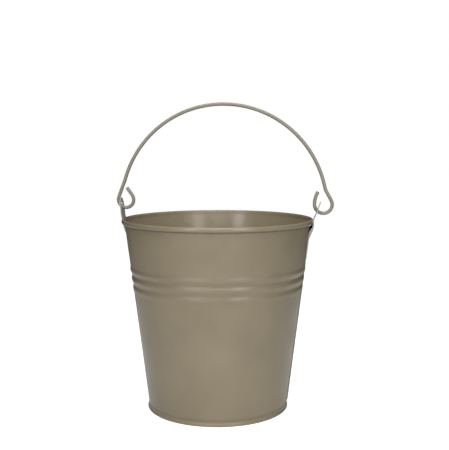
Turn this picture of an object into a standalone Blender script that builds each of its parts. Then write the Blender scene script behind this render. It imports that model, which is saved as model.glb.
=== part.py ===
"""Small sheet-metal florist bucket with two strap ears and a loose wire handle.

Metres, +Z up. The origin is the centre of the bucket's underside. The ears lie on the X axis, the
right one at +X, and the handle swings about the line through the holes in the ears, which is not
quite level: the left ear sits a little higher.
"""

from math import asin, atan, atan2, cos, hypot, pi, radians, sin, tan

import bmesh
import bpy

MM = 0.001

# Body of the bucket
SHEET = 0.5 * MM
GAP = 0.3 * MM
RIM_HEIGHT = 155.4 * MM
RIM_RADIUS = 77.5 * MM
BEAD_HALF_WIDTH = 1.55 * MM
BEAD_HALF_HEIGHT = 1.95 * MM
WALL_FOOT_Z = 4.0 * MM
WALL_FOOT_RADIUS = 56.65 * MM
WALL_TOP_Z = 151.5 * MM
WALL_TOP_RADIUS = 74.84 * MM
COLUMNS = 60

# Rolled rim: the sheet turns round the bead's centre between these two directions
CURL_START = radians(192)
CURL_END = radians(-112)
CURL_STEPS = 11
BEAD_CENTRE_RADIUS = RIM_RADIUS - BEAD_HALF_WIDTH
BEAD_CENTRE_Z = RIM_HEIGHT - BEAD_HALF_HEIGHT

# Pressed rings: swellings that get lower downwards, with a groove between each two
SWELLINGS = 3
RING_PITCH = 7.6 * MM
LOWEST_SWELLING_Z = 99.5 * MM
LOW_SWELLING = 0.34 * MM
HIGH_SWELLING = 0.52 * MM

# Folded side seam on the outside, under the right ear
SEAM_WIDTH = 4.4 * MM
SEAM_HEIGHT = 0.9 * MM
SEAM_SLOPE = 0.5 * MM
SEAM_FOOT_Z = 5.0 * MM
SEAM_HEAD_Z = 121.5 * MM

# Bottom plate with its edge turned up round the wall
PLATE = 0.8 * MM
FOOT_RING_RADIUS = 57.7 * MM
FOOT_RING_HEIGHT = 4.4 * MM
FOOT_RING_LIP = 0.4 * MM
FOOT_CORNER = 0.9 * MM
STEP_INNER = 42.0 * MM
STEP_OUTER = 49.0 * MM
STEP_HEIGHT = 0.9 * MM
STEP_SLOPE = 1.4 * MM

# Strap ears
EAR_THICKNESS = 0.6 * MM
EAR_WIDTH = 14.4 * MM
EAR_HOLE = {"ear_left": (79.0 * MM, 165.2 * MM), "ear_right": (80.9 * MM, 162.4 * MM)}
EAR_HOLE_RADIUS = 3.3 * MM
EAR_HOLE_TO_TOP = 6.5 * MM
EAR_HOLE_TO_FOOT = 39.3 * MM
EAR_PLATE_FOOT_Z = 154.5 * MM
EAR_STEP_HEAD_Z = 150.8 * MM
EAR_STEP_FOOT_Z = 138.0 * MM
EAR_STEP_ROWS = 6
EAR_PLAY = 0.1 * MM
EAR_TOP_CORNER = 6.9 * MM
EAR_FOOT_CORNER = 3.5 * MM

# Wire handle
WIRE_RADIUS = 1.4 * MM
ARCH_CENTRE = (4.5 * MM, 163.2 * MM)
ARCH_RADIUS = 83.8 * MM
ARCH_STEPS = 44
LOOP_STEP = radians(18)
TIP_STEPS = 3
HOOKS = {
    "left": {
        "kink": (-76.9 * MM, 184.2 * MM),
        "centre": (-75.5 * MM, 169.7 * MM),
        "radius": 6.45 * MM,
        "tip_lean": (radians(35), radians(35)),
        "tip_length": 7.7 * MM,
    },
    "right": {
        "kink": (87.0 * MM, 178.6 * MM),
        "centre": (85.4 * MM, 166.8 * MM),
        "radius": 7.1 * MM,
        "tip_lean": (0.0, radians(30)),
        "tip_length": 10.8 * MM,
    },
}


def wall_radius(z):
    """Outer radius of the plain cone at a height."""
    share = (z - WALL_FOOT_Z) / (WALL_TOP_Z - WALL_FOOT_Z)
    return WALL_FOOT_RADIUS + share * (WALL_TOP_RADIUS - WALL_FOOT_RADIUS)


def ring_rows():
    """(z, outward offset) at each crest, crossing and trough of the pressed rings."""
    quarters = 4 * (SWELLINGS - 1)
    rows = [(LOWEST_SWELLING_Z - RING_PITCH / 2, 0.0)]
    for quarter in range(quarters + 1):
        height = LOW_SWELLING + (HIGH_SWELLING - LOW_SWELLING) * quarter / quarters
        offset = height * (1, 0, -1, 0)[quarter % 4]
        rows.append((LOWEST_SWELLING_Z + quarter * RING_PITCH / 4, offset))
    rows.append((rows[-1][0] + RING_PITCH / 2, 0.0))
    return rows


def add_material(obj, name, colour, roughness, metallic):
    material = bpy.data.materials.new(name)
    material.use_nodes = True
    shader = material.node_tree.nodes["Principled BSDF"]
    shader.inputs["Base Color"].default_value = (*colour, 1.0)
    shader.inputs["Roughness"].default_value = roughness
    shader.inputs["Metallic"].default_value = metallic
    obj.data.materials.append(material)


def add_object(name, bm, smooth_angle=35):
    """Links the mesh to the scene under this name, faces outward and shaded smooth."""
    bmesh.ops.recalc_face_normals(bm, faces=bm.faces)
    mesh = bpy.data.meshes.new(name)
    bm.to_mesh(mesh)
    bm.free()
    mesh.shade_smooth()
    mesh.set_sharp_from_angle(angle=radians(smooth_angle))
    obj = bpy.data.objects.new(name, mesh)
    bpy.context.collection.objects.link(obj)
    return obj


def turned(outline, columns):
    """Mesh of a closed outline of (radius, z) turned about Z. A point on the axis becomes one vertex."""
    bm = bmesh.new()
    rings = []
    for radius, z in outline:
        if radius == 0:
            rings.append([bm.verts.new((0, 0, z))] * columns)
            continue
        angles = [2 * pi * i / columns for i in range(columns)]
        rings.append([bm.verts.new((radius * cos(a), radius * sin(a), z)) for a in angles])
    for here, there in zip(rings, rings[1:] + rings[:1]):
        for i in range(columns):
            corners = [here[i], here[i - 1], there[i - 1], there[i]]
            corners = list(dict.fromkeys(corners))
            if len(corners) > 2:
                bm.faces.new(corners)
    return bm


# ---- wall ------------------------------------------------------------------------------------

def wall_outline():
    """(radius, z, seam share) round the sheet's section: outer face upwards, curl, inner face down."""
    foot = PLATE + GAP
    lead_in = WALL_TOP_Z - BEAD_HALF_HEIGHT
    seam_ends = (SEAM_FOOT_Z, SEAM_FOOT_Z + SEAM_SLOPE, SEAM_HEAD_Z - SEAM_SLOPE, SEAM_HEAD_Z)
    wave = ring_rows()
    rows = wave + [(z, wave_at(z)) for z in (foot, lead_in, *seam_ends)]
    outer = []
    for z, offset in sorted(rows):
        seam = 1.0 if SEAM_FOOT_Z < z < SEAM_HEAD_Z else 0.0
        outer.append((wall_radius(z) + offset, z, seam))
    inner = []
    for z, offset in [(foot, 0.0), *wave, (lead_in, 0.0)]:
        inner.append((wall_radius(z) + offset - SHEET, z, 0.0))
    curl_inside = curl_points(SHEET)
    curl_outside = curl_points(0.0)
    return outer + curl_inside + curl_outside[::-1] + inner[::-1]


def wave_at(z):
    """Outward offset of the pressed wave at a height, straight between its rows."""
    rows = ring_rows()
    if z <= rows[0][0] or z >= rows[-1][0]:
        return 0.0
    for (z0, offset0), (z1, offset1) in zip(rows, rows[1:]):
        if z0 <= z <= z1:
            return offset0 + (offset1 - offset0) * (z - z0) / (z1 - z0)


def curl_points(inset):
    """(radius, z, seam share) round the oval bead, this far inside its surface."""
    points = []
    for i in range(CURL_STEPS + 1):
        angle = CURL_START + (CURL_END - CURL_START) * i / CURL_STEPS
        r = BEAD_CENTRE_RADIUS + (BEAD_HALF_WIDTH - inset) * cos(angle)
        points.append((r, BEAD_CENTRE_Z + (BEAD_HALF_HEIGHT - inset) * sin(angle), 0.0))
    return points


def wall_columns():
    """(angle, arc length from it, seam share) of each column. Those of the seam keep its width."""
    half = SEAM_WIDTH / 2
    columns = [
        (0.0, -half - SEAM_SLOPE, 0.0),
        (0.0, -half, 1.0),
        (0.0, half, 1.0),
        (0.0, half + SEAM_SLOPE, 0.0),
    ]
    for i in range(1, COLUMNS):
        columns.append((2 * pi * i / COLUMNS, 0.0, 0.0))
    return columns


def make_wall():
    bm = bmesh.new()
    outline = wall_outline()
    rings = []
    for angle, arc, column_share in wall_columns():
        ring = []
        for radius, z, row_share in outline:
            turn = angle + arc / radius
            r = radius + SEAM_HEIGHT * column_share * row_share
            ring.append(bm.verts.new((r * cos(turn), r * sin(turn), z)))
        rings.append(ring)
    for here, there in zip(rings, rings[1:] + rings[:1]):
        for i in range(len(outline)):
            bm.faces.new((here[i], here[i - 1], there[i - 1], there[i]))
    wall = add_object("bucket_wall", bm)
    add_material(wall, "taupe_paint_wall", (0.25, 0.205, 0.165), 0.38, 0.0)
    return wall


# ---- base and rim wire -----------------------------------------------------------------------

def make_base():
    inner_foot = wall_radius(PLATE) + GAP
    inner_head = wall_radius(FOOT_RING_HEIGHT) + GAP
    outer_head = inner_head + FOOT_RING_LIP
    outline = [
        (0, 0),
        (STEP_INNER, 0),
        (STEP_INNER + STEP_SLOPE, STEP_HEIGHT),
        (STEP_OUTER - STEP_SLOPE, STEP_HEIGHT),
        (STEP_OUTER, 0),
    ]
    for i in range(5):
        angle = radians(-90 + 22.5 * i)
        r = FOOT_RING_RADIUS - FOOT_CORNER + FOOT_CORNER * cos(angle)
        outline.append((r, FOOT_CORNER + FOOT_CORNER * sin(angle)))
    outline += [
        (FOOT_RING_RADIUS, FOOT_RING_HEIGHT / 2),
        (outer_head, FOOT_RING_HEIGHT - FOOT_RING_LIP / 2),
        ((inner_head + outer_head) / 2, FOOT_RING_HEIGHT),
        (inner_head, FOOT_RING_HEIGHT - FOOT_RING_LIP / 2),
        (inner_foot, PLATE),
        (STEP_OUTER, PLATE),
        (STEP_OUTER - STEP_SLOPE, PLATE + STEP_HEIGHT),
        (STEP_INNER + STEP_SLOPE, PLATE + STEP_HEIGHT),
        (STEP_INNER, PLATE),
        (0, PLATE),
    ]
    base = add_object("base_disc", turned(outline, COLUMNS))
    add_material(base, "taupe_paint_base", (0.25, 0.205, 0.165), 0.4, 0.0)
    return base


def make_rim_wire():
    wire_radius = BEAD_HALF_WIDTH - SHEET - GAP
    sides = 8
    outline = []
    for i in range(sides):
        angle = 2 * pi * i / sides
        r = BEAD_CENTRE_RADIUS + wire_radius * cos(angle)
        outline.append((r, BEAD_CENTRE_Z + wire_radius * sin(angle)))
    wire = add_object("rim_wire", turned(outline, COLUMNS), 60)
    add_material(wire, "rim_wire_steel", (0.42, 0.41, 0.39), 0.35, 1.0)
    return wire


# ---- ears ------------------------------------------------------------------------------------

def ear_path(hole_x, hole_z):
    """(x, z) along the middle of the strap's thickness: plate, past the bead, then in to the wall."""
    bead_x = RIM_RADIUS + GAP + EAR_THICKNESS / 2 + EAR_PLAY
    off_wall = GAP + EAR_THICKNESS / 2 + EAR_PLAY / 2
    lean = (hole_x - bead_x) / (hole_z - EAR_PLATE_FOOT_Z)
    path = [(hole_x + EAR_HOLE_TO_TOP * lean, hole_z + EAR_HOLE_TO_TOP), (bead_x, EAR_PLATE_FOOT_Z)]
    for i in range(EAR_STEP_ROWS + 1):
        share = 1 - i / EAR_STEP_ROWS
        z = EAR_STEP_FOOT_Z + share * (EAR_STEP_HEAD_Z - EAR_STEP_FOOT_Z)
        on_wall = wall_radius(z) + off_wall
        path.append((on_wall + (bead_x - on_wall) * share**2 * (3 - 2 * share), z))
    foot_z = hole_z - EAR_HOLE_TO_FOOT
    path.append((wall_radius(foot_z) + off_wall, foot_z))
    return path


def band(path, thickness):
    """Closed outline of a strip of even thickness along a path of (x, z)."""
    sides = ([], [])
    for i, (x, z) in enumerate(path):
        before = path[max(i - 1, 0)]
        after = path[min(i + 1, len(path) - 1)]
        a = (x - before[0], z - before[1])
        b = (after[0] - x, after[1] - z)
        la = hypot(*a) or 1.0
        lb = hypot(*b) or 1.0
        along = (a[0] / la + b[0] / lb, a[1] / la + b[1] / lb)
        length = hypot(*along)
        normal = (-along[1] / length, along[0] / length)
        bend = 1.0
        if 0 < i < len(path) - 1:
            bend = length / 2
        reach = thickness / 2 / bend
        sides[0].append((x + normal[0] * reach, z + normal[1] * reach))
        sides[1].append((x - normal[0] * reach, z - normal[1] * reach))
    return sides[0] + sides[1][::-1]


def make_ear(name, side):
    outline = band(ear_path(*EAR_HOLE[name]), EAR_THICKNESS)
    half = EAR_WIDTH / 2
    bm = bmesh.new()
    near = [bm.verts.new((side * x, -half, z)) for x, z in outline]
    far = [bm.verts.new((side * x, half, z)) for x, z in outline]
    bm.faces.new(near)
    bm.faces.new(far)
    count = len(outline)
    ends = []
    for i in range(count):
        face = bm.faces.new((near[i - 1], near[i], far[i], far[i - 1]))
        if i in (0, count // 2):
            ends.append(face)
    for face, corner in zip(ends, (EAR_TOP_CORNER, EAR_FOOT_CORNER)):
        edges = [e for e in face.edges if abs(e.verts[0].co.y - e.verts[1].co.y) < MM / 100]
        bmesh.ops.bevel(bm, geom=edges, offset=corner, segments=7, profile=0.5, affect="EDGES")
    ear = add_object(name, bm)
    add_material(ear, "zinc_coat_" + name, (0.5, 0.485, 0.445), 0.4, 0.3)
    drill = make_drill(name + "_drill", side * EAR_HOLE[name][0], EAR_HOLE[name][1])
    hole = ear.modifiers.new("handle_hole", "BOOLEAN")
    hole.operation = "DIFFERENCE"
    hole.solver = "EXACT"
    hole.object = drill
    return ear


def make_drill(name, x, z):
    """Cutter along X for the handle's hole, left out of the finished part."""
    bm = bmesh.new()
    bmesh.ops.create_cone(
        bm,
        cap_ends=True,
        segments=24,
        radius1=EAR_HOLE_RADIUS,
        radius2=EAR_HOLE_RADIUS,
        depth=4 * MM,
    )
    drill = add_object(name, bm)
    drill.rotation_euler = (0, pi / 2, 0)
    drill.location = (x, 0, z)
    drill.hide_render = True
    drill.display_type = "WIRE"
    return drill


# ---- handle ----------------------------------------------------------------------------------

def hook(side, kink, centre, radius, tip_lean, tip_length):
    """(x, z) from the end of the arch: down outside the ear, round the loop and up to the tip."""
    x, z = side * kink[0], kink[1]
    cx, cz = side * centre[0], centre[1]
    distance = hypot(cx - x, cz - z)
    start = asin(radius / distance) - atan2(x - cx, z - cz)
    end = -pi - tip_lean[0]
    steps = int((start - end) / LOOP_STEP) + 1
    points = [(x, z)]
    for i in range(steps + 1):
        angle = start + (end - start) * i / steps
        points.append((cx + radius * cos(angle), cz + radius * sin(angle)))
    for i in range(TIP_STEPS):
        lean = tip_lean[0] + (tip_lean[1] - tip_lean[0]) * (i + 0.5) / TIP_STEPS
        last_x, last_z = points[-1]
        step = tip_length / TIP_STEPS
        points.append((last_x + step * sin(lean), last_z + step * cos(lean)))
    return [(side * px, pz) for px, pz in points]


def arch():
    """(x, z) along the arch between the two kinks, its ends left out."""
    cx, cz = ARCH_CENTRE
    start, end = (
        atan2(HOOKS[side]["kink"][1] - cz, HOOKS[side]["kink"][0] - cx) for side in ("left", "right")
    )
    points = []
    for i in range(1, ARCH_STEPS):
        angle = start + (end - start) * i / ARCH_STEPS
        points.append((cx + ARCH_RADIUS * cos(angle), cz + ARCH_RADIUS * sin(angle)))
    return points


def hinge_line():
    """(height at the middle plane, tilt about Y) of the line through the two ear holes."""
    left_x, left_z = EAR_HOLE["ear_left"]
    right_x, right_z = EAR_HOLE["ear_right"]
    slope = (right_z - left_z) / (right_x + left_x)
    return right_z - slope * right_x, -atan(slope)


def make_bail(hinge):
    left = hook(-1, **HOOKS["left"])
    right = hook(1, **HOOKS["right"])
    points = left[::-1] + arch() + right
    curve = bpy.data.curves.new("bail_handle", "CURVE")
    curve.dimensions = "3D"
    curve.bevel_depth = WIRE_RADIUS
    curve.bevel_resolution = 2
    curve.use_fill_caps = True
    spline = curve.splines.new("POLY")
    spline.points.add(len(points) - 1)
    for point, (x, z) in zip(spline.points, points):
        point.co = (x, 0, z - hinge.location.z, 1)
    spline.use_smooth = True
    bail = bpy.data.objects.new("bail_handle", curve)
    bpy.context.collection.objects.link(bail)
    bail.parent = hinge
    bail.rotation_euler = (0, -hinge.rotation_euler.y, 0)
    add_material(bail, "taupe_paint_bail", (0.27, 0.245, 0.195), 0.4, 0.0)
    return bail


def main():
    for obj in list(bpy.data.objects):
        bpy.data.objects.remove(obj)
    make_wall()
    make_base()
    make_rim_wire()
    make_ear("ear_left", -1)
    make_ear("ear_right", 1)
    height, tilt = hinge_line()
    hinge = bpy.data.objects.new("bail_hinge", None)
    hinge.location = (0, 0, height)
    hinge.rotation_euler = (0, tilt, 0)
    bpy.context.collection.objects.link(hinge)
    make_bail(hinge)


main()
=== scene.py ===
from math import asin, atan2, cos, hypot, pi, radians, sin

import bmesh
import bpy
import numpy as np
from mathutils import Matrix, Vector


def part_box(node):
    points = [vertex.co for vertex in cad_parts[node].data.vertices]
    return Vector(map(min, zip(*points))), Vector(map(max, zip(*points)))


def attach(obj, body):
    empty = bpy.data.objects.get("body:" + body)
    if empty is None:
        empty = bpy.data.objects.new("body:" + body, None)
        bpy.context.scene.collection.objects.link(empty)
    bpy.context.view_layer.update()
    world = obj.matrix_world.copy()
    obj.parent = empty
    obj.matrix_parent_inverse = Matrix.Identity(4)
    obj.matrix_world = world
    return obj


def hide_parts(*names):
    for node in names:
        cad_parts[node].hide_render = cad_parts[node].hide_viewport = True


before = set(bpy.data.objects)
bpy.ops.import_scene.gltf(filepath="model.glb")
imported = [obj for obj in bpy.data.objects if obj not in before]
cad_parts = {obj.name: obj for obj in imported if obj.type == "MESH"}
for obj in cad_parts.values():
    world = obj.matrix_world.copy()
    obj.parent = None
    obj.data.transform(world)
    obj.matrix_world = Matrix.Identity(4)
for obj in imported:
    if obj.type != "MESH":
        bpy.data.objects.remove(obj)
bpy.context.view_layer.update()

MM = 0.001

# ---- sizes read from the frame ---------------------------------------------------------------

WALL_LOW, WALL_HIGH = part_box("bucket_wall")
BASE_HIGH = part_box("base_disc")[1]
RIM_RADIUS = -WALL_LOW.x
RIM_HEIGHT = WALL_HIGH.z
WALL_FOOT_Z = WALL_LOW.z
FOOT_RING_RADIUS = BASE_HIGH.x
FOOT_RING_HEIGHT = BASE_HIGH.z
EAR_FOOT_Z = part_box("ear_right")[0].z
WIRE_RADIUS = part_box("bail_handle")[1].y

# The visible strap is narrower than the CAD one, to clear the right hook at the ends of its swing.
EAR_TRIM = 0.8 * MM
EAR_WIDTH = 2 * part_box("ear_right")[1].y - EAR_TRIM

# ---- shape of the sheet ----------------------------------------------------------------------
# Lengths as in the CAD part, apart from the bead's width and the start of its curl, the ears' width,
# their holes and their distance from the bead, and the outline of the foot ring.

SHEET = 0.5 * MM
CONE_FOOT = (56.65 * MM, 4.0 * MM)
CONE_HEAD = (74.84 * MM, 151.5 * MM)
BEAD_HALF_WIDTH = 1.45 * MM
BEAD_HALF_HEIGHT = 1.95 * MM
BEAD_CENTRE = (RIM_RADIUS - BEAD_HALF_WIDTH, RIM_HEIGHT - BEAD_HALF_HEIGHT)
CURL_START = radians(173)
CURL_END = radians(-112)
RIM_WIRE_GAP = 0.3 * MM
SWELLINGS = 3
RING_PITCH = 7.6 * MM
LOWEST_SWELLING_Z = 99.5 * MM
SWELLING_LOW = 0.34 * MM
SWELLING_HIGH = 0.52 * MM
SEAM_WIDTH = 4.4 * MM
SEAM_HEIGHT = 0.9 * MM
SEAM_FOOT_Z = 5.0 * MM
PLATE = 0.8 * MM
STEP_INNER = 42.0 * MM
STEP_OUTER = 49.0 * MM
STEP_HEIGHT = 0.9 * MM
FOOT_ROLL = 1.2 * MM
FOOT_LIP = 0.3 * MM
FOOT_WALL_GAP = 0.08 * MM

EAR_THICKNESS = 0.6 * MM
EAR_HOLE = {"left": (79.0 * MM, 165.2 * MM), "right": (80.9 * MM, 162.4 * MM)}
EAR_HOLE_RADIUS = {"left": 3.0 * MM, "right": 3.6 * MM}
EAR_HOLE_TO_TOP = 6.5 * MM
EAR_HOLE_TO_FOOT = 39.3 * MM
EAR_PLATE_FOOT_Z = 154.5 * MM
EAR_STEP_HEAD_Z = 150.8 * MM
EAR_STEP_FOOT_Z = 138.0 * MM
EAR_TUCKS = ((143.0 * MM, 151.0 * MM), (148.0 * MM, 151.5 * MM))
EAR_FOOT_CORNER = 3.5 * MM
EAR_HOLE_TO_NECK = 9.5 * MM
EAR_OFF_BEAD = 0.06 * MM
EAR_OFF_WALL = 0.35 * MM
EAR_COLUMNS = 28
WELDS_BELOW_HOLE = (34.6 * MM, 28.0 * MM)

ARCH_CENTRE = (4.5 * MM, 163.2 * MM)
ARCH_RADIUS = 83.8 * MM
WIRE_STEP = 0.4 * MM
HOOKS = {
    "left": {
        "kink": (-76.9 * MM, 184.2 * MM),
        "centre": (-75.5 * MM, 169.7 * MM),
        "radius": 6.45 * MM,
        "tip_lean": (radians(35), radians(35)),
        "tip_length": 7.7 * MM,
    },
    "right": {
        "kink": (87.0 * MM, 178.6 * MM),
        "centre": (85.4 * MM, 166.8 * MM),
        "radius": 7.1 * MM,
        "tip_lean": (0.0, radians(30)),
        "tip_length": 10.8 * MM,
    },
}


# ---- small helpers ---------------------------------------------------------------------------

def smoothstep(low, high, value):
    share = np.clip((np.asarray(value, float) - low) / (high - low), 0, 1)
    return share * share * (3 - 2 * share)


def cone_radius(z):
    """Outer radius of the plain cone at a height."""
    share = (z - CONE_FOOT[1]) / (CONE_HEAD[1] - CONE_FOOT[1])
    return CONE_FOOT[0] + share * (CONE_HEAD[0] - CONE_FOOT[0])


def wave(z):
    """Outward offset of the pressed rings: swellings that get lower downwards, with grooves between."""
    z = np.asarray(z, float)
    low = LOWEST_SWELLING_Z
    high = low + (SWELLINGS - 1) * RING_PITCH
    depth = SWELLING_LOW + (SWELLING_HIGH - SWELLING_LOW) * np.clip((z - low) / (high - low), 0, 1)
    inside = depth * np.cos(2 * pi * (z - low) / RING_PITCH)
    past = np.clip(np.maximum(z - high, low - z) / (RING_PITCH / 2), 0, 1)
    ends = depth * (1 + np.cos(pi * past)) / 2
    return np.where((z > low) & (z < high), inside, ends)


def offset_line(points, distance):
    """The line moved to its right by a distance, for points as an array of (r, z)."""
    along = np.gradient(points, axis=0)
    along /= np.linalg.norm(along, axis=1)[:, None]
    return points + distance * np.stack([along[:, 1], -along[:, 0]], axis=1)


def grid_object(name, points, closed_rows=True, closed_columns=True, caps=()):
    """Mesh of a grid of points, shape (columns, rows, 3). caps lists columns to close with a face."""
    columns, rows = points.shape[:2]
    index = np.arange(columns * rows).reshape(columns, rows)
    across = np.roll(index, -1, axis=0) if closed_columns else index[1:]
    here = index if closed_columns else index[:-1]
    up_here = np.roll(here, -1, axis=1)
    up_across = np.roll(across, -1, axis=1)
    if not closed_rows:
        here, across = here[:, :-1], across[:, :-1]
        up_here, up_across = up_here[:, :-1], up_across[:, :-1]
    quads = np.stack([here, across, up_across, up_here], axis=-1).reshape(-1, 4)
    faces = [tuple(map(int, quad)) for quad in quads]
    for column in caps:
        faces.append(tuple(int(i) for i in index[column]))
    mesh = bpy.data.meshes.new(name)
    mesh.from_pydata(points.reshape(-1, 3).tolist(), [], faces)
    bm = bmesh.new()
    bm.from_mesh(mesh)
    bmesh.ops.remove_doubles(bm, verts=bm.verts, dist=1e-7)
    bmesh.ops.recalc_face_normals(bm, faces=bm.faces)
    bm.to_mesh(mesh)
    bm.free()
    mesh.shade_smooth()
    obj = bpy.data.objects.new(name, mesh)
    bpy.context.scene.collection.objects.link(obj)
    return obj


def add_share(obj, name, values):
    """Stores one number per vertex for the materials."""
    layer = obj.data.attributes.new(name, "FLOAT", "POINT")
    layer.data.foreach_set("value", np.asarray(values, np.float32))


def vertex_places(obj):
    places = np.empty(len(obj.data.vertices) * 3, np.float32)
    obj.data.vertices.foreach_get("co", places)
    return places.reshape(-1, 3).astype(float)


# ---- wall ------------------------------------------------------------------------------------

def oval(inset, angles):
    """(r, z) round the rim bead at these angles, this far inside its surface."""
    r = BEAD_CENTRE[0] + (BEAD_HALF_WIDTH - inset) * np.cos(angles)
    return np.stack([r, BEAD_CENTRE[1] + (BEAD_HALF_HEIGHT - inset) * np.sin(angles)], axis=1)


def wall_middle():
    """(r, z) along the middle of the sheet: up the cone, over the rings and round the curl."""
    ring_low = LOWEST_SWELLING_Z - RING_PITCH / 2
    ring_high = ring_low + SWELLINGS * RING_PITCH
    heights = np.concatenate([
        np.linspace(WALL_FOOT_Z, 8 * MM, 6),
        np.linspace(8 * MM, ring_low, 24)[1:],
        np.linspace(ring_low, ring_high, 62)[1:],
        np.linspace(ring_high, 148.5 * MM, 10)[1:],
    ])
    radii = cone_radius(heights) - SHEET / 2 + wave(heights)
    angles = np.linspace(CURL_START, CURL_END, 30)
    curl = oval(SHEET / 2, angles)
    start = np.array([radii[-1], heights[-1]])
    share = np.linspace(0, 1, 8)[1:-1, None]
    lead = start + (curl[0] - start) * share
    return np.concatenate([np.stack([radii, heights], 1), lead, curl])


def wall_angles():
    """Column directions: even round the wall, and close together across the side seam at +X."""
    dense = 0.085
    seam = np.linspace(-dense, dense, 45)
    rest = np.linspace(dense, 2 * pi - dense, 230)[1:-1]
    return np.concatenate([seam, rest])


def seam_share(arc):
    """0 to 1 across the folded side seam: a flat band with one sharp and one rounded side."""
    half = SEAM_WIDTH / 2
    rise = smoothstep(-half - 0.30 * MM, -half + 0.15 * MM, arc)
    fall = 1 - smoothstep(half - 0.35 * MM, half + 0.45 * MM, arc)
    return rise * fall


def make_wall():
    middle = wall_middle()
    outer = offset_line(middle, SHEET / 2)
    inner = offset_line(middle, -SHEET / 2)
    last_step = middle[-1] - middle[-2]
    round_end = middle[-1] + last_step / np.linalg.norm(last_step) * SHEET / 2
    section = np.concatenate([outer, round_end[None], inner[::-1]])
    height = np.concatenate([middle[:, 1], middle[-1:, 1], middle[::-1, 1]])
    on_cone = np.arange(len(middle)) < len(middle) - 36
    outer_face = np.concatenate([on_cone, [False], np.zeros(len(middle), bool)])
    inner_face = np.concatenate([np.zeros(len(middle) + 1, bool), on_cone[::-1]])

    angles = wall_angles()
    angle = np.where(angles > pi, angles - 2 * pi, angles)[:, None]
    radius = np.broadcast_to(section[:, 0], (len(angles), len(section))).copy()
    z = np.broadcast_to(section[:, 1], radius.shape).copy()
    arc = angle * radius
    seam = seam_share(arc)
    foot_fade = smoothstep(SEAM_FOOT_Z, SEAM_FOOT_Z + 1.5 * MM, height)
    under_ear = smoothstep(EAR_FOOT_Z - 2.5 * MM, EAR_FOOT_Z + 0.5 * MM, height)
    seam_top = SEAM_HEIGHT * (1 - 0.72 * under_ear) * foot_fade
    rings = wave(height)
    radius += outer_face * seam * (seam_top - 0.6 * rings)
    fold_line = np.exp(-((arc + SEAM_WIDTH / 2 + 0.5 * MM) / (0.35 * MM)) ** 2)
    radius += inner_face * fold_line * foot_fade * 0.22 * MM
    in_curl = ~(outer_face | inner_face)
    radius += in_curl * seam * 0.12 * MM * (section[:, 0] > BEAD_CENTRE[0])

    # Slight unevenness of hand-size sheet work: a few tenths of a millimetre at most.
    strength = smoothstep(6 * MM, 40 * MM, height) * (1 - smoothstep(132 * MM, 150 * MM, height))
    uneven = np.sin(3 * angle + 0.7 + 21 * z) + 0.6 * np.sin(5 * angle - 1.1 - 34 * z)
    uneven += 0.35 * np.sin(9 * angle + 2.3 + 60 * z)
    radius += 0.05 * MM * uneven * strength * (1 - seam)

    turn = angles[:, None]
    points = np.stack([radius * np.cos(turn), radius * np.sin(turn), z], axis=-1)
    wall = grid_object("wall_sheet", points)

    place = vertex_places(wall)
    r, h = np.hypot(place[:, 0], place[:, 1]), place[:, 2]
    side = np.arctan2(place[:, 1], place[:, 0]) * r
    crest = smoothstep(0.15 * MM, SWELLING_HIGH, wave(h))
    rim = smoothstep(RIM_HEIGHT - 1.2 * MM, RIM_HEIGHT, h)
    seam_edge = np.exp(-((np.abs(side) - SEAM_WIDTH / 2 + 0.2 * MM) / (0.4 * MM)) ** 2)
    add_share(wall, "wear", np.clip(0.35 * crest + rim + 0.7 * seam_edge * (h < EAR_FOOT_Z), 0, 1))
    # Painted shade with patchy dirt: the grooves, the outside just under the bead, the side seam's foot
    # and the wall near the foot ring are darkened in their colour. A dark painted shadow line runs in the
    # undercut right below the bead.
    trough = smoothstep(0.2 * MM, SWELLING_HIGH, -wave(h))
    under_bead = smoothstep(144 * MM, 151 * MM, h) * (1 - smoothstep(151.5 * MM, 153 * MM, h))
    under_bead *= r > cone_radius(h) - SHEET / 2
    seam_foot = np.exp(-((np.abs(side) - SEAM_WIDTH / 2 - 0.45 * MM) / (0.45 * MM)) ** 2)
    low = 1 - smoothstep(FOOT_RING_HEIGHT - 0.2 * MM, FOOT_RING_HEIGHT + 1.6 * MM, h)
    undercut = smoothstep(150 * MM, 151 * MM, h) * (1 - smoothstep(151.8 * MM, 152.6 * MM, h))
    undercut *= (r > cone_radius(h) - SHEET / 2) & (r < BEAD_CENTRE[0] + 0.5 * MM)
    on_bead = h > BEAD_CENTRE[1] - BEAD_HALF_HEIGHT
    inner_side = (r < cone_radius(h) + wave(h) - SHEET / 2) & ~on_bead
    bead_top = smoothstep(BEAD_CENTRE[1] - 0.4 * MM, BEAD_CENTRE[1] + 0.8 * MM, h)
    dust_and_shade = np.clip(0.35 * trough + 0.8 * under_bead + 0.5 * seam_foot + low, 0, 1)
    add_share(wall, "dust_and_shade", dust_and_shade + 1.2 * undercut)
    add_share(wall, "inside", inner_side)
    add_share(wall, "gloss", np.maximum(inner_side, bead_top))
    return wall


# ---- base and rim wire -----------------------------------------------------------------------

def turned_object(name, section, columns):
    """Closed section of (r, z) turned about Z, its ends on the axis pinched shut."""
    angles = np.linspace(0, 2 * pi, columns, endpoint=False)[:, None]
    radius = np.broadcast_to(section[:, 0], (columns, len(section)))
    z = np.broadcast_to(section[:, 1], radius.shape)
    return grid_object(name, np.stack([radius * np.cos(angles), radius * np.sin(angles), z], axis=-1))


def plate_line(z, from_r, to_r, rows):
    """(r, z) along the plate at a level, with its raised stiffening ring."""
    radii = np.linspace(from_r, to_r, rows)
    up = smoothstep(STEP_INNER, STEP_INNER + 1.8 * MM, radii)
    down = 1 - smoothstep(STEP_OUTER - 1.8 * MM, STEP_OUTER, radii)
    return np.stack([radii, z + STEP_HEIGHT * up * down], axis=1)


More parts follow.
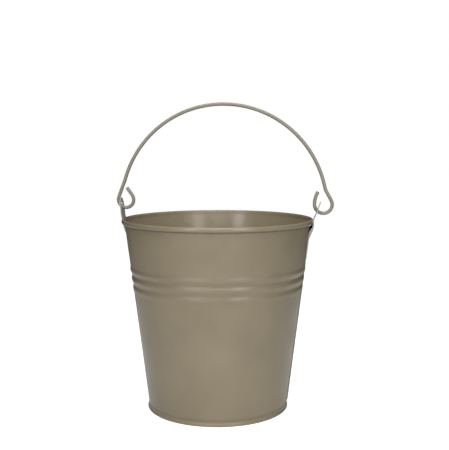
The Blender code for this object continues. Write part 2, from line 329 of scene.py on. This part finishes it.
def foot_ring_line():
    """(r, z) up the outside of the ring: a roll at the bottom that thins to a lip against the wall."""
    roll_centre = np.array([FOOT_RING_RADIUS - FOOT_ROLL, FOOT_ROLL])
    angles = np.linspace(-pi / 2, 0, 14)
    roll = roll_centre + FOOT_ROLL * np.stack([np.cos(angles), np.sin(angles)], axis=1)
    z = np.linspace(FOOT_ROLL, FOOT_RING_HEIGHT - FOOT_LIP / 2, 16)[1:]
    lip_r = cone_radius(z) + FOOT_LIP
    thinning = smoothstep(FOOT_ROLL, 0.75 * FOOT_RING_HEIGHT, z)
    taper = np.stack([FOOT_RING_RADIUS + (lip_r - FOOT_RING_RADIUS) * thinning, z], axis=1)
    angles = np.linspace(0, pi, 8)[1:]
    lip_centre = np.array([lip_r[-1] - FOOT_LIP / 2, z[-1]])
    lip = lip_centre + FOOT_LIP / 2 * np.stack([np.cos(angles), np.sin(angles)], axis=1)
    return np.concatenate([roll, taper, lip])


def make_base():
    ring = foot_ring_line()
    inner_r = cone_radius(FOOT_ROLL) + FOOT_WALL_GAP
    underside = plate_line(0.0, 0.0, ring[0, 0] - 0.2 * MM, 90)
    inside = np.array([[inner_r, FOOT_ROLL]])
    floor = plate_line(PLATE, cone_radius(PLATE) + 0.05 * MM, 0.0, 90)
    base = turned_object("base_plate", np.concatenate([underside, ring, inside, floor]), 240)
    place = vertex_places(base)
    r, h = np.hypot(place[:, 0], place[:, 1]), place[:, 2]
    on_ring = r > inner_r + 0.15 * MM
    add_share(base, "wear", on_ring * (1 - smoothstep(0.2 * MM, 1.5 * MM, h)))
    # Painted shade with patchy dirt: the foot ring's top against the wall, the floor's corner against the
    # wall and both sides of the stiffening ring are darkened in their colour.
    top = smoothstep(FOOT_RING_HEIGHT - 0.5 * MM, FOOT_RING_HEIGHT, h)
    corner = (h < 3 * MM) * (h > 0.5 * PLATE) * smoothstep(inner_r - 5 * MM, inner_r, r) * ~on_ring
    step = np.exp(-((r - STEP_OUTER) / (1.2 * MM)) ** 2) + np.exp(-((r - STEP_INNER) / (1.2 * MM)) ** 2)
    add_share(base, "dust_and_shade", np.clip(top * on_ring + corner + 0.5 * step * (h > 0.5 * PLATE), 0, 1))
    return base


def make_rim_wire():
    angles = np.linspace(0, 2 * pi, 20, endpoint=False)
    core = BEAD_HALF_WIDTH - SHEET - RIM_WIRE_GAP
    section = BEAD_CENTRE + core * np.stack([np.cos(angles), np.sin(angles)], axis=1)
    return turned_object("rim_core_wire", section, 240)


# ---- ears ------------------------------------------------------------------------------------

def ear_line(side):
    """(x, z) along the middle of the strap, top to bottom, at even steps."""
    bead_x = RIM_RADIUS + EAR_THICKNESS / 2 + EAR_OFF_BEAD
    off_wall = EAR_OFF_WALL + EAR_THICKNESS / 2
    hole_x, hole_z = EAR_HOLE[side]
    lean = (hole_x - bead_x) / (hole_z - EAR_PLATE_FOOT_Z)
    plate_z = np.linspace(hole_z + EAR_HOLE_TO_TOP, EAR_PLATE_FOOT_Z, 40)
    plate = np.stack([bead_x + (plate_z - EAR_PLATE_FOOT_Z) * lean, plate_z], axis=1)
    share = np.linspace(1, 0, 30)
    z = EAR_STEP_FOOT_Z + share * (EAR_STEP_HEAD_Z - EAR_STEP_FOOT_Z)
    on_wall = cone_radius(z) + off_wall
    step = np.stack([on_wall + (bead_x - on_wall) * smoothstep(0, 1, share), z], axis=1)
    foot_z = hole_z - EAR_HOLE_TO_FOOT
    line = np.concatenate([plate, step, [[cone_radius(foot_z) + off_wall, foot_z]]])
    line = resample(line, 0.25 * MM)
    return smooth_line(line, 3.2)


def resample(line, step):
    """The line's points at even steps along it."""
    lengths = line_lengths(line)
    at = np.linspace(0, lengths[-1], int(lengths[-1] / step) + 1)
    return np.stack([np.interp(at, lengths, line[:, k]) for k in range(line.shape[1])], axis=1)


def smooth_line(line, width):
    """Rounds a line's corners over a number of its points. The ends stay."""
    reach = int(4 * width)
    weights = np.exp(-0.5 * (np.arange(-reach, reach + 1) / width) ** 2)
    weights /= weights.sum()
    before = 2 * line[0] - line[1:reach + 1][::-1]
    after = 2 * line[-1] - line[-reach - 1:-1][::-1]
    padded = np.concatenate([before, line, after])
    return np.stack([np.convolve(padded[:, k], weights, "valid") for k in range(line.shape[1])], axis=1)


def line_lengths(line):
    """Distance along a line to each of its points."""
    return np.concatenate([[0], np.cumsum(np.linalg.norm(np.diff(line, axis=0), axis=1))])


def ear_rings(half, neck, hole_at, hole_radius):
    """Flat rings of (across, along) from the hole's edge out to the strap's rounded head."""
    columns = EAR_COLUMNS
    bottom = [(half - EAR_WIDTH * i / columns, neck) for i in range(columns)]
    left = [(-half, neck + (half - neck) * i / columns) for i in range(columns)]
    top = [(half * cos(a), half - half * sin(a)) for a in np.linspace(pi, 0, 2 * columns + 1)[:-1]]
    right = [(half, half + (neck - half) * i / columns) for i in range(columns)]
    outline = np.array(bottom + left + top + right)
    start = np.arctan2(outline[:, 1] - hole_at, outline[:, 0])
    rim = np.stack([hole_radius * np.cos(start), hole_at + hole_radius * np.sin(start)], axis=1)
    shares = (0, 0.06, 0.15, 0.3, 0.45, 0.6, 0.75, 0.88, 1)
    return [rim + (outline - rim) * share for share in shares]


def ear_strip(half, neck, total):
    """Flat rows of (across, along) below the hole, the last ones rounded at the strap's foot."""
    rows = np.linspace(neck, total, 96)[1:]
    into_corner = np.clip(rows - (total - EAR_FOOT_CORNER), 0, EAR_FOOT_CORNER)
    corner = np.sqrt(np.maximum(EAR_FOOT_CORNER**2 - into_corner**2, 0))
    half_width = half - EAR_FOOT_CORNER + corner
    across = half_width[:, None] * np.linspace(1, -1, EAR_COLUMNS + 1)
    return np.stack([across, np.repeat(rows[:, None], EAR_COLUMNS + 1, axis=1)], axis=-1)


def flat_ear(rings, strip):
    """bmesh of the strap before it is bent, with x across it and y along it."""
    bm = bmesh.new()
    ring_verts = [[bm.verts.new((p[0], p[1], 0)) for p in ring] for ring in rings]
    for inner, outer in zip(ring_verts, ring_verts[1:]):
        for i in range(len(inner)):
            bm.faces.new((inner[i - 1], inner[i], outer[i], outer[i - 1]))
    last = ring_verts[-1][:EAR_COLUMNS + 1]
    for row in strip:
        verts = [bm.verts.new((p[0], p[1], 0)) for p in row]
        for i in range(EAR_COLUMNS):
            bm.faces.new((last[i], last[i + 1], verts[i + 1], verts[i]))
        last = verts
    return bm


def bend_ear(bm, sign, line, hole_z):
    """Lays the flat strap along its line, round the bead and the wall, and dents it at its spot welds."""
    lengths = line_lengths(line)
    half = EAR_WIDTH / 2
    for vert in bm.verts:
        y, along = vert.co.x, vert.co.y
        x = float(np.interp(along, lengths, line[:, 0]))
        z = float(np.interp(along, lengths, line[:, 1]))
        hug = 1 - float(smoothstep(RIM_HEIGHT - 1 * MM, RIM_HEIGHT + 3 * MM, z))
        x -= hug * (x - (x * x - y * y) ** 0.5)
        tuck_low, tuck_high = EAR_TUCKS[sign * y > 0]
        tucked = 1 - float(smoothstep(tuck_low, tuck_high, z))
        tucked *= float(smoothstep(0.15 * half, 0.9 * half, abs(y)))
        x -= tucked * max(x - EAR_THICKNESS / 2 - 0.35 * MM - (cone_radius(z) ** 2 - y * y) ** 0.5, 0)
        for below_hole in WELDS_BELOW_HOLE:
            from_weld = hypot(y, z - hole_z + below_hole)
            x -= 0.16 * MM * np.exp(-(from_weld / (1.5 * MM)) ** 4)
        vert.co = (sign * x, y, z)


def make_ear(side):
    sign = -1 if side == "left" else 1
    line = ear_line(side)
    lengths = line_lengths(line)
    hole_z = EAR_HOLE[side][1]
    hole_radius = EAR_HOLE_RADIUS[side]
    hole_at = float(np.interp(-hole_z, -line[:, 1], lengths))
    half = EAR_WIDTH / 2
    neck = hole_at + EAR_HOLE_TO_NECK
    rings = ear_rings(half, neck, hole_at, hole_radius)
    bm = flat_ear(rings, ear_strip(half, neck, lengths[-1]))
    bend_ear(bm, sign, line, hole_z)
    bmesh.ops.recalc_face_normals(bm, faces=bm.faces)
    mesh = bpy.data.meshes.new("ear_strap_" + side)
    bm.to_mesh(mesh)
    bm.free()
    mesh.shade_smooth()
    ear = bpy.data.objects.new("ear_strap_" + side, mesh)
    bpy.context.scene.collection.objects.link(ear)
    place = vertex_places(ear)
    to_hole = np.hypot(place[:, 1], place[:, 2] - hole_z)
    edge = smoothstep(half - 0.5 * MM, half, np.abs(place[:, 1]))
    rubbed = 1 - smoothstep(0, 1.2 * MM, to_hole - hole_radius)
    add_share(ear, "wear", np.clip(rubbed + 0.5 * edge, 0, 1))
    # Painted shade with patchy dirt where the strap's foot meets the wall.
    from_foot = place[:, 2] - hole_z + EAR_HOLE_TO_FOOT
    add_share(ear, "dust_and_shade", 0.8 * np.exp(-(from_foot / (1.2 * MM)) ** 2))
    thick = ear.modifiers.new("thickness", "SOLIDIFY")
    thick.thickness = EAR_THICKNESS
    thick.offset = 0
    thick.use_even_offset = True
    edges = ear.modifiers.new("soft_edges", "BEVEL")
    edges.width = 0.14 * MM
    edges.segments = 3
    edges.limit_method = "ANGLE"
    edges.angle_limit = radians(50)
    return ear


# ---- handle ----------------------------------------------------------------------------------

def hook(side, kink, centre, radius, tip_lean, tip_length):
    """(x, z) from the arch's end: down outside the ear, round the loop and up to the tip."""
    x, z = side * kink[0], kink[1]
    cx, cz = side * centre[0], centre[1]
    start = asin(radius / hypot(cx - x, cz - z)) - atan2(x - cx, z - cz)
    angles = np.linspace(start, -pi - tip_lean[0], 80)
    loop = np.stack([cx + radius * np.cos(angles), cz + radius * np.sin(angles)], axis=1)
    steps = 12
    leans = tip_lean[0] + (tip_lean[1] - tip_lean[0]) * (np.arange(steps) + 0.5) / steps
    directions = np.stack([np.sin(leans), np.cos(leans)], axis=1)
    tip = loop[-1] + np.cumsum(directions, axis=0) * tip_length / steps
    return np.concatenate([[[x, z]], loop, tip]) * [side, 1]


def bail_line():
    """(x, z) along the wire from the left tip to the right tip."""
    left = hook(-1, **HOOKS["left"])
    right = hook(1, **HOOKS["right"])
    cx, cz = ARCH_CENTRE
    ends = [atan2(hook_line[0, 1] - cz, hook_line[0, 0] - cx) for hook_line in (left, right)]
    angles = np.linspace(ends[0], ends[1], 300)[1:-1]
    arch = np.stack([cx + ARCH_RADIUS * np.cos(angles), cz + ARCH_RADIUS * np.sin(angles)], axis=1)
    return smooth_line(resample(np.concatenate([left[::-1], arch, right]), WIRE_STEP), 3.0)


def make_bail():
    line = bail_line()
    along = np.gradient(line, axis=0)
    along /= np.linalg.norm(along, axis=1)[:, None]
    normal = np.stack([-along[:, 1], along[:, 0]], axis=1)
    count = len(line)
    at = np.arange(count) * WIRE_STEP
    sway = 0.22 * MM * np.sin(at / (31 * MM)) + 0.12 * MM * np.sin(at / (13 * MM) + 1)
    loops = smoothstep(20 * MM, 50 * MM, np.minimum(at, at[-1] - at))
    sides = 28
    around = np.linspace(0, 2 * pi, sides, endpoint=False)
    thickness = WIRE_RADIUS * (1 + 0.004 * np.sin(at / (3.1 * MM)))
    # Flattened a little where the wire was gripped to bend it, and nipped at the cut ends.
    for scale, rows in ((0.90, (0, -1)), (0.975, (1, -2))):
        for row in rows:
            thickness[row] *= scale
    out = thickness[:, None] * np.cos(around)
    deep = thickness[:, None] * np.sin(around)
    points = np.stack([
        line[:, None, 0] + normal[:, None, 0] * out,
        deep + (sway * loops)[:, None],
        line[:, None, 1] + normal[:, None, 1] * out,
    ], axis=-1)
    bail = grid_object("bail_wire", points, closed_columns=False, caps=(0, -1))
    place = vertex_places(bail)
    rub = np.zeros(len(place))
    for side in ("left", "right"):
        x = EAR_HOLE[side][0] * (-1 if side == "left" else 1)
        from_hole = np.linalg.norm(place - [x, 0, EAR_HOLE[side][1]], axis=1)
        rub = np.maximum(rub, 1 - smoothstep(1.6 * MM, 4.2 * MM, from_hole))
    add_share(bail, "wear", rub)
    add_share(bail, "dust_and_shade", np.zeros(len(place)))
    return bail


# ---- materials -------------------------------------------------------------------------------

class Nodes:
    """Adds nodes to one material with their inputs given by name."""

    def __init__(self, name):
        self.material = bpy.data.materials.new(name)
        self.material.use_nodes = True
        self.tree = self.material.node_tree
        self.shader = self.tree.nodes["Principled BSDF"]

    def add(self, kind, inputs=None, **settings):
        node = self.tree.nodes.new(kind)
        for key, value in settings.items():
            setattr(node, key, value)
        for key, value in (inputs or {}).items():
            self.put(node.inputs[key], value)
        return node

    def put(self, socket, value):
        if isinstance(value, bpy.types.NodeSocket):
            self.tree.links.new(value, socket)
        else:
            socket.default_value = value

    def math(self, operation, a, b=0.0):
        return self.add("ShaderNodeMath", {0: a, 1: b}, operation=operation).outputs[0]

    def noise(self, scale, detail=2.0, vector=None, roughness=0.5):
        inputs = {"Scale": scale, "Detail": detail, "Roughness": roughness}
        inputs["Vector"] = self.places if vector is None else vector
        return self.add("ShaderNodeTexNoise", inputs).outputs["Fac"]

    def ramp(self, value, low, high, to_low=0.0, to_high=1.0):
        inputs = {"Value": value, "From Min": low, "From Max": high, "To Min": to_low, "To Max": to_high}
        return self.add("ShaderNodeMapRange", inputs).outputs[0]

    def mix(self, share, a, b):
        node = self.add("ShaderNodeMix", data_type="RGBA")
        self.put(node.inputs["Factor"], share)
        self.put(node.inputs["A"], a)
        self.put(node.inputs["B"], b)
        return node.outputs["Result"]


# The wall's inner face is painted lighter, as painted light, and that face and the bead's top are
# smoother.
INSIDE_PAINTED_LIGHT = 1.35
EXTRA_GLOSS = 0.13


def paint(name, colour, roughness=0.38, wear=1.0):
    """Satin baked paint on steel: fine orange peel, a little cloudiness, patchy dirt and painted shade in
    the folds, worn edges, and painted light on the wall's inner face.
    """
    nodes = Nodes(name)
    nodes.places = nodes.add("ShaderNodeTexCoord").outputs["Object"]
    cloud = nodes.noise(28.0, 3.0)
    fleck = nodes.noise(2600.0, 1.0)
    darker = tuple(c * 0.90 for c in colour) + (1.0,)
    lighter = tuple(min(c * 1.07, 1.0) for c in colour) + (1.0,)
    tone = nodes.mix(nodes.ramp(cloud, 0.3, 0.7), darker, lighter)
    specks = tuple(c * 0.93 for c in colour) + (1.0,)
    tone = nodes.mix(nodes.ramp(fleck, 0.55, 0.8, 0.0, 0.6), tone, specks)

    # Painted shade mixed with patchy dirt: the stored fold share darkens the colour to about half of the
    # paint.
    dust_and_shade = nodes.add("ShaderNodeAttribute", attribute_name="dust_and_shade").outputs["Fac"]
    dust_and_shade_patches = nodes.ramp(nodes.noise(160.0, 4.0), 0.3, 0.7, 0.35, 1.0)
    dust_and_shade_mix = nodes.math("MULTIPLY", nodes.math("MULTIPLY", dust_and_shade, dust_and_shade_patches), 0.45)
    dust_and_shade_colour = tuple(c * 0.55 for c in colour) + (1.0,)
    tone = nodes.mix(dust_and_shade_mix, tone, dust_and_shade_colour)

    edge = nodes.add("ShaderNodeAttribute", attribute_name="wear").outputs["Fac"]
    chips = nodes.ramp(nodes.noise(900.0, 5.0, roughness=0.65), 0.60, 0.66)
    chipped = nodes.math("MULTIPLY", nodes.math("MULTIPLY", edge, chips), wear)
    rubbed = nodes.math("MULTIPLY", edge, 0.16 * wear)
    tone = nodes.mix(rubbed, tone, tuple(min(c * 1.5, 1.0) for c in colour) + (1.0,))
    steel = (0.30, 0.29, 0.27, 1.0)
    tone = nodes.mix(chipped, tone, steel)

    satin = nodes.ramp(nodes.noise(55.0, 4.0), 0.3, 0.7, roughness - 0.045, roughness + 0.045)
    smears = nodes.ramp(nodes.noise(14.0, 5.0, roughness=0.7), 0.55, 0.75, 0.0, 0.06)
    satin = nodes.math("ADD", satin, smears)
    satin = nodes.math("ADD", satin, nodes.math("MULTIPLY", dust_and_shade_mix, 0.25))
    satin = nodes.math("SUBTRACT", satin, nodes.math("MULTIPLY", rubbed, 0.4))

    peel = nodes.noise(620.0, 2.0)
    fine = nodes.noise(2400.0, 1.0)
    height = nodes.math("ADD", nodes.math("MULTIPLY", peel, 1.0), nodes.math("MULTIPLY", fine, 0.22))
    height = nodes.math("SUBTRACT", height, nodes.math("MULTIPLY", chipped, 0.8))
    bump = nodes.add("ShaderNodeBump", {"Strength": 0.10, "Distance": 0.12 * MM, "Height": height})

    # Painted light: the wall's inner face is lightened in its colour.
    inside = nodes.add("ShaderNodeAttribute", attribute_name="inside").outputs["Fac"]
    inside_painted_light = tuple(min(c * INSIDE_PAINTED_LIGHT, 1.0) for c in colour) + (1.0,)
    tone = nodes.mix(inside, tone, nodes.mix(0.5, tone, inside_painted_light))
    gloss = nodes.add("ShaderNodeAttribute", attribute_name="gloss").outputs["Fac"]
    satin = nodes.math("SUBTRACT", satin, nodes.math("MULTIPLY", gloss, EXTRA_GLOSS))

    nodes.put(nodes.shader.inputs["Base Color"], tone)
    nodes.put(nodes.shader.inputs["Roughness"], satin)
    nodes.put(nodes.shader.inputs["Metallic"], nodes.math("MULTIPLY", chipped, 0.9))
    nodes.put(nodes.shader.inputs["Normal"], bump.outputs["Normal"])
    nodes.put(nodes.shader.inputs["IOR"], 1.5)
    return nodes.material


def steel_wire():
    """Bright drawn wire inside the rim: fine lines along it and a few dull patches."""
    nodes = Nodes("drawn_steel")
    places = nodes.add("ShaderNodeTexCoord").outputs["Object"]
    nodes.places = nodes.add("ShaderNodeMapping", {"Vector": places, "Scale": (1, 1, 6)}).outputs[0]
    lines = nodes.noise(3000.0, 3.0)
    patches = nodes.noise(90.0, 4.0)
    tone = nodes.mix(nodes.ramp(patches, 0.4, 0.7), (0.42, 0.41, 0.39, 1), (0.28, 0.25, 0.22, 1))
    nodes.put(nodes.shader.inputs["Base Color"], tone)
    nodes.put(nodes.shader.inputs["Roughness"], nodes.ramp(lines, 0.3, 0.7, 0.25, 0.45))
    nodes.put(nodes.shader.inputs["Metallic"], 1.0)
    bump = nodes.add("ShaderNodeBump", {"Strength": 0.15, "Distance": 0.05 * MM, "Height": lines})
    nodes.put(nodes.shader.inputs["Normal"], bump.outputs["Normal"])
    return nodes.material


# ---- stage -----------------------------------------------------------------------------------

CAMERA_LENS = 65.86
CAMERA_TURN = radians(6.8)
CAMERA_DISTANCE = 666.6 * MM
CAMERA_HEIGHT = 218.24 * MM
CAMERA_PITCH = 0.10268
CAMERA_YAW = 0.00861
CAMERA_ROLL = 0.00146
ROOM_LEVEL = 0.01
FLOOR_RADIUS = 1.6
FLOOR_DROP = 0.2 * MM
FLOOR_GLOW = 1.0
FLOOR_MIRROR_GLOW = 0.5
NEAR_FLOOR_RADIUS = 0.3
FAR_FLOOR_RADIUS = 0.7
FAR_FLOOR_TONE = 0.2
AIM_HEIGHT = 0.16
# Each box's bearing from the camera, height, distance, size and power.
SOFT_BOXES = {
    "soft_box_left": (radians(-30), 0.34, 0.75, (0.17, 0.58), 2.0),
    "soft_box_right": (radians(27), 0.34, 0.75, (0.16, 0.58), 2.3),
    "soft_box_front": (radians(-1), 0.46, 0.80, (0.30, 0.30), 1.6),
}
TOP_BOX_DISTANCE = 0.12
TOP_BOX_HEIGHT = 1.1
TOP_BOX_SIZE = 0.7
TOP_BOX_POWER = 7.0


def place_camera():
    camera = bpy.data.objects.new("camera", bpy.data.cameras.new("camera"))
    bpy.context.scene.collection.objects.link(camera)
    camera.data.lens = CAMERA_LENS
    camera.data.sensor_width = 36.0
    camera.data.clip_start = 0.01
    camera.data.clip_end = 50
    x, y = CAMERA_DISTANCE * sin(CAMERA_TURN), -CAMERA_DISTANCE * cos(CAMERA_TURN)
    camera.location = (x, y, CAMERA_HEIGHT)
    heading = CAMERA_YAW - CAMERA_TURN
    level = cos(CAMERA_PITCH)
    forward = Vector((level * sin(heading), level * cos(heading), -sin(CAMERA_PITCH)))
    turn = forward.to_track_quat("-Z", "Y").to_matrix().to_4x4()
    roll = Matrix.Rotation(-CAMERA_ROLL, 4, "Z")
    camera.matrix_world = Matrix.Translation(camera.location) @ turn @ roll
    bpy.context.scene.camera = camera


def soft_box(name, bearing, height, distance, size, power):
    """Rectangular light facing the bucket. bearing is its angle from the camera's, to the right."""
    light = bpy.data.lights.new(name, "AREA")
    light.shape = "RECTANGLE"
    light.size, light.size_y = size
    light.energy = power
    angle = CAMERA_TURN + bearing - pi / 2
    place = Vector((distance * cos(angle), distance * sin(angle), height))
    facing = Vector((0, 0, AIM_HEIGHT)) - place
    obj = bpy.data.objects.new(name, light)
    bpy.context.scene.collection.objects.link(obj)
    obj.matrix_world = Matrix.Translation(place) @ facing.to_track_quat("-Z", "Y").to_matrix().to_4x4()
    obj.visible_camera = False


def make_world():
    """White behind the bucket for the camera, and a nearly dark room for all other rays."""
    world = bpy.data.worlds.new("studio")
    bpy.context.scene.world = world
    world.use_nodes = True
    tree = world.node_tree
    tree.nodes.clear()
    seen = tree.nodes.new("ShaderNodeBackground")
    seen.inputs["Color"].default_value = (1, 1, 1, 1)
    seen.inputs["Strength"].default_value = 1.0
    room = tree.nodes.new("ShaderNodeBackground")
    room.inputs["Color"].default_value = (1.0, 1.0, 1.0, 1)
    room.inputs["Strength"].default_value = ROOM_LEVEL
    ray = tree.nodes.new("ShaderNodeLightPath")
    mix = tree.nodes.new("ShaderNodeMixShader")
    out = tree.nodes.new("ShaderNodeOutputWorld")
    tree.links.new(ray.outputs["Is Camera Ray"], mix.inputs[0])
    tree.links.new(room.outputs[0], mix.inputs[1])
    tree.links.new(seen.outputs[0], mix.inputs[2])
    tree.links.new(mix.outputs[0], out.inputs[0])


def make_floor():
    """Table that glows white to the camera, and half as bright in reflections near the bucket."""
    bm = bmesh.new()
    bmesh.ops.create_circle(bm, cap_ends=True, segments=96, radius=FLOOR_RADIUS)
    mesh = bpy.data.meshes.new("floor")
    bm.to_mesh(mesh)
    bm.free()
    floor = bpy.data.objects.new("floor", mesh)
    floor.location.z = -FLOOR_DROP
    bpy.context.scene.collection.objects.link(floor)
    nodes = Nodes("pale_floor")
    nodes.places = nodes.add("ShaderNodeTexCoord").outputs["Object"]
    out = nodes.add("ShaderNodeVectorMath", {0: nodes.places}, operation="LENGTH").outputs["Value"]
    near = nodes.ramp(out, NEAR_FLOOR_RADIUS, FAR_FLOOR_RADIUS, 1.0, 0.0)
    tone = nodes.mix(nodes.noise(6.0, 3.0), (0.58, 0.58, 0.57, 1), (0.62, 0.62, 0.61, 1))
    tone = nodes.mix(near, (FAR_FLOOR_TONE, FAR_FLOOR_TONE, FAR_FLOOR_TONE, 1), tone)
    nodes.put(nodes.shader.inputs["Base Color"], tone)
    nodes.put(nodes.shader.inputs["Roughness"], 0.8)
    nodes.put(nodes.shader.inputs["Specular IOR Level"], 0.2)
    nodes.put(nodes.shader.inputs["Emission Color"], (1, 1, 1, 1))
    ray = nodes.add("ShaderNodeLightPath")
    seen = nodes.math("MULTIPLY", ray.outputs["Is Camera Ray"], FLOOR_GLOW)
    mirrored = nodes.math("MULTIPLY", ray.outputs["Is Glossy Ray"], FLOOR_MIRROR_GLOW)
    mirrored = nodes.math("MULTIPLY", mirrored, near)
    nodes.put(nodes.shader.inputs["Emission Strength"], nodes.math("ADD", seen, mirrored))
    mesh.materials.append(nodes.material)


# ---- assembly --------------------------------------------------------------------------------

TAUPE = (0.254, 0.211, 0.139)
WIRE_TAUPE = (0.270, 0.245, 0.195)
ZINC_GREY = (0.50, 0.485, 0.445)

PIECES = (
    (make_wall, (), "bucket", "bucket_wall", "wall_paint", paint("paint_wall", TAUPE, 0.37, 0.5)),
    (make_base, (), "bucket", "base_disc", "base_paint", paint("paint_base", TAUPE, 0.39, 0.6)),
    (make_rim_wire, (), "bucket", "rim_wire", "rim_steel", steel_wire()),
    (make_ear, ("left",), "bucket", "ear_left", "ear_paint",
     paint("paint_ear_left", ZINC_GREY, 0.36, 0.8)),
    (make_ear, ("right",), "bucket", "ear_right", "ear_paint",
     paint("paint_ear_right", ZINC_GREY, 0.36, 0.8)),
    (make_bail, (), "bail", "bail_handle", "handle_paint", paint("paint_bail", WIRE_TAUPE, 0.36, 0.8)),
)

place_camera()
make_world()
make_floor()
for box_name, settings in SOFT_BOXES.items():
    soft_box(box_name, *settings)
top_size = (TOP_BOX_SIZE, TOP_BOX_SIZE)
soft_box("soft_box_top", 0, TOP_BOX_HEIGHT, TOP_BOX_DISTANCE, top_size, TOP_BOX_POWER)
bpy.context.scene.view_settings.view_transform = "Standard"

for make, arguments, body, node, slot, material in PIECES:
    piece = make(*arguments)
    piece.data.materials.append(material)
    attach(piece, body)
    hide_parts(node)
